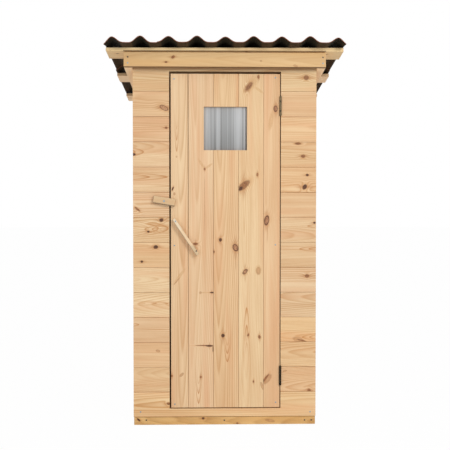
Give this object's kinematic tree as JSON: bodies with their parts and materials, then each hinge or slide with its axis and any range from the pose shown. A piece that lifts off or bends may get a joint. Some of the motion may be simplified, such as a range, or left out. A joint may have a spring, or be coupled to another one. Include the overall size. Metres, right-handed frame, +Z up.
{
  "type": "outhouse",
  "caption": "Wooden outhouse: a board-clad cabin on a timber base, with a ledged door, a small window, a turn button and a lean-to roof of corrugated sheets.",
  "frame": {"origin": "on the ground at the middle of the base, on the underside of the middle joist", "axes": "+X to the right seen from the front, -Y out of the front where the door is, +Z up"},
  "size_m": [1.281, 1.2918, 2.0956],
  "materials": {
    "wall_pine": "matte",
    "door_pine": "matte",
    "frame_pine": "matte",
    "base_pine": "matte",
    "roof_sheet": "matte",
    "hinge_steel": "satin",
    "window_sheet": "gloss"
  },
  "bodies": {
    "cabin": {"front_sill": "base_pine", "rear_sill": "base_pine", "left_joist": "base_pine", "middle_joist": "base_pine", "right_joist": "base_pine", "floor": "frame_pine", "front_left_post": "frame_pine", "front_right_post": "frame_pine", "rear_left_post": "frame_pine", "rear_right_post": "frame_pine", "door_posts": "frame_pine", "door_stop": "frame_pine", "front_bottom_rail": "frame_pine", "rear_bottom_rail": "frame_pine", "side_bottom_rails": "frame_pine", "front_top_rail": "frame_pine", "rear_top_rail": "frame_pine", "side_top_rails": "frame_pine", "front_wall_left": "wall_pine", "front_wall_right": "wall_pine", "front_wall_head": "wall_pine", "front_wall_foot": "wall_pine", "left_wall": "wall_pine", "right_wall": "wall_pine", "rear_wall": "wall_pine", "left_rafter": "frame_pine", "right_rafter": "frame_pine", "front_fascia": "wall_pine", "rear_fascia": "wall_pine", "front_batten": "frame_pine", "middle_batten": "frame_pine", "rear_batten": "frame_pine", "front_roof_sheet": "roof_sheet", "rear_roof_sheet": "roof_sheet", "turn_button_screw": "hinge_steel", "upper_hinge_wall_leaf": "hinge_steel", "lower_hinge_wall_leaf": "hinge_steel"},
    "door": {"door_leaf": "door_pine", "door_ledges": "frame_pine", "window_pane": "window_sheet", "door_handle": "frame_pine", "handle_spacers": "frame_pine", "upper_hinge_door_leaf": "hinge_steel", "lower_hinge_door_leaf": "hinge_steel"},
    "turn_button": {"turn_button": "wall_pine"}
  },
  "joints": [
    {"name": "door_hinge", "type": "hinge", "parent": "cabin", "child": "door", "pos_m": [0.3035, -0.5065, 1], "axis": [0, 0, 1], "range_deg": [0, 170]},
    {"name": "turn_button_pivot", "type": "hinge", "parent": "cabin", "child": "turn_button", "pos_m": [-0.33, -0.515, 1.22933], "axis": [0, 1, 0], "continuous": true}
  ]
}
